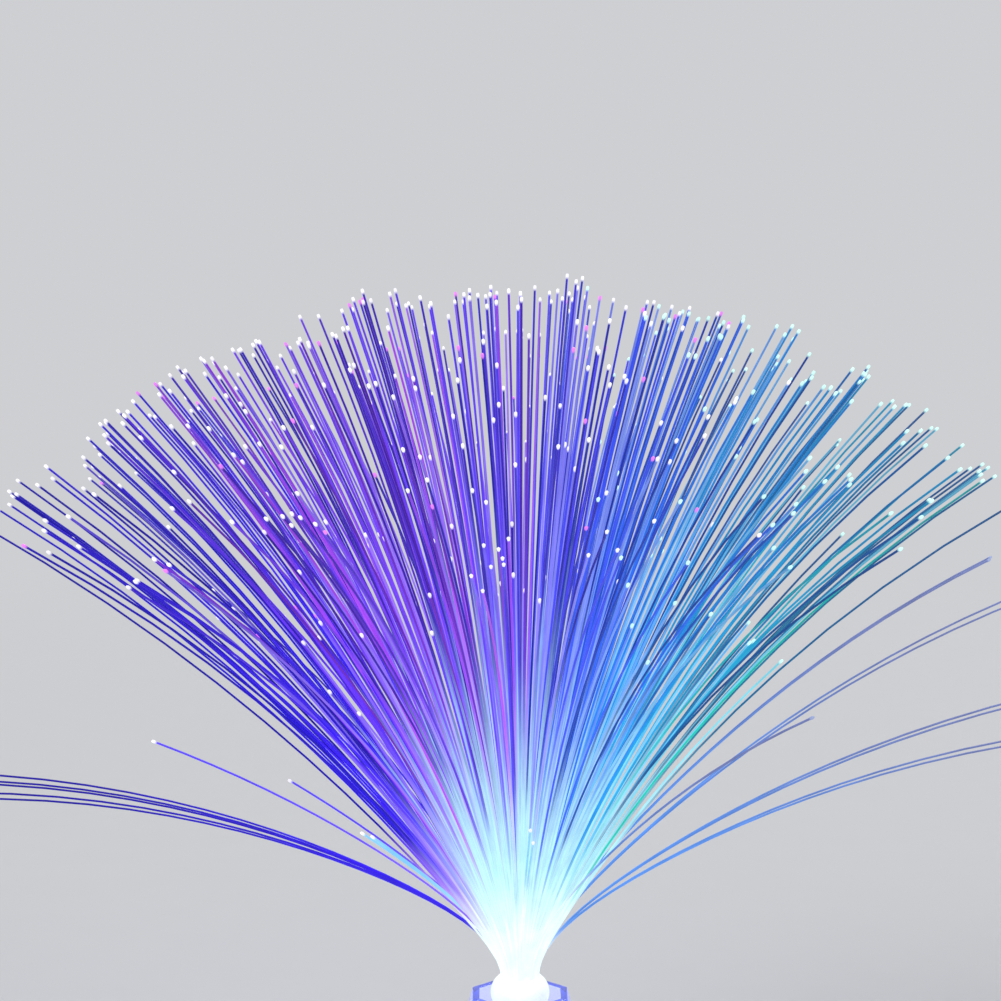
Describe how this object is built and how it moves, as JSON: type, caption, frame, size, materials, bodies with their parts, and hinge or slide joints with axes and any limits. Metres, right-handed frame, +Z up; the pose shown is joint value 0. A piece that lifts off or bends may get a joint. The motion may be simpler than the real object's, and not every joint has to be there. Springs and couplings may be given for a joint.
{
  "type": "fiber optic lamp",
  "caption": "Battery table lamp: a spray of light-guide fibres fanning out of a ball collar, in a clear faceted cup on a faceted foot with a slide switch and battery door.",
  "frame": {"origin": "centre of the foot on the table plane, under the axis of the socket tube", "axes": "+Z up along the socket tube, +Y towards the switch at the back, +X to the right seen from the front"},
  "size_m": [0.4345, 0.3584, 0.3326],
  "materials": {
    "black_abs": "satin",
    "grey_abs": "satin",
    "steel": "satin",
    "rubber": "matte",
    "cell": "gloss",
    "contact": "satin",
    "board": "satin",
    "led_red": "gloss",
    "led_green": "gloss",
    "led_blue": "gloss",
    "chip": "matte",
    "milky_tube": "satin",
    "clear_acrylic": "gloss",
    "lit_collar": "gloss",
    "light_deep_blue": "gloss",
    "light_violet": "gloss",
    "light_indigo": "gloss",
    "light_azure": "gloss",
    "light_cyan": "gloss",
    "light_stray": "gloss"
  },
  "bodies": {
    "base": {"upper_shell": "black_abs", "bottom_cover": "black_abs", "door_hinge_pin": "steel", "foot_ring": "rubber", "housing_screws": "steel", "battery_1": "cell", "battery_2": "cell", "battery_3": "cell", "contact_positive": "contact", "contact_negative": "contact", "contact_bridge_left": "contact", "contact_bridge_right": "contact", "circuit_board": "board", "led_red": "led_red", "led_green": "led_green", "led_blue": "led_blue", "control_chip": "chip", "switch_case": "chip", "socket_tube": "milky_tube", "crystal_crown": "clear_acrylic"},
    "switch": {"switch_slider": "grey_abs"},
    "battery_door": {"battery_door": "black_abs"},
    "fibre_head": {"light_bead": "lit_collar", "potted_bundle": "lit_collar", "fibres_deep_blue": "light_deep_blue", "fibres_violet": "light_violet", "fibres_indigo": "light_indigo", "fibres_azure": "light_azure", "fibres_cyan": "light_cyan", "fibres_stray": "light_stray"}
  },
  "joints": [
    {"name": "power_switch_slide", "type": "slide", "parent": "base", "child": "switch", "axis": [1, 0, 0], "range_m": [-0.002, 0]},
    {"name": "battery_door_hinge", "type": "hinge", "parent": "base", "child": "battery_door", "pos_m": [-0.02815, 0, 0.0036], "axis": [0, 1, 0], "range_deg": [0, 95]},
    {"name": "fibre_head_lift", "type": "slide", "parent": "base", "child": "fibre_head", "axis": [0, 0, 1], "range_m": [0, 0.07]}
  ]
}
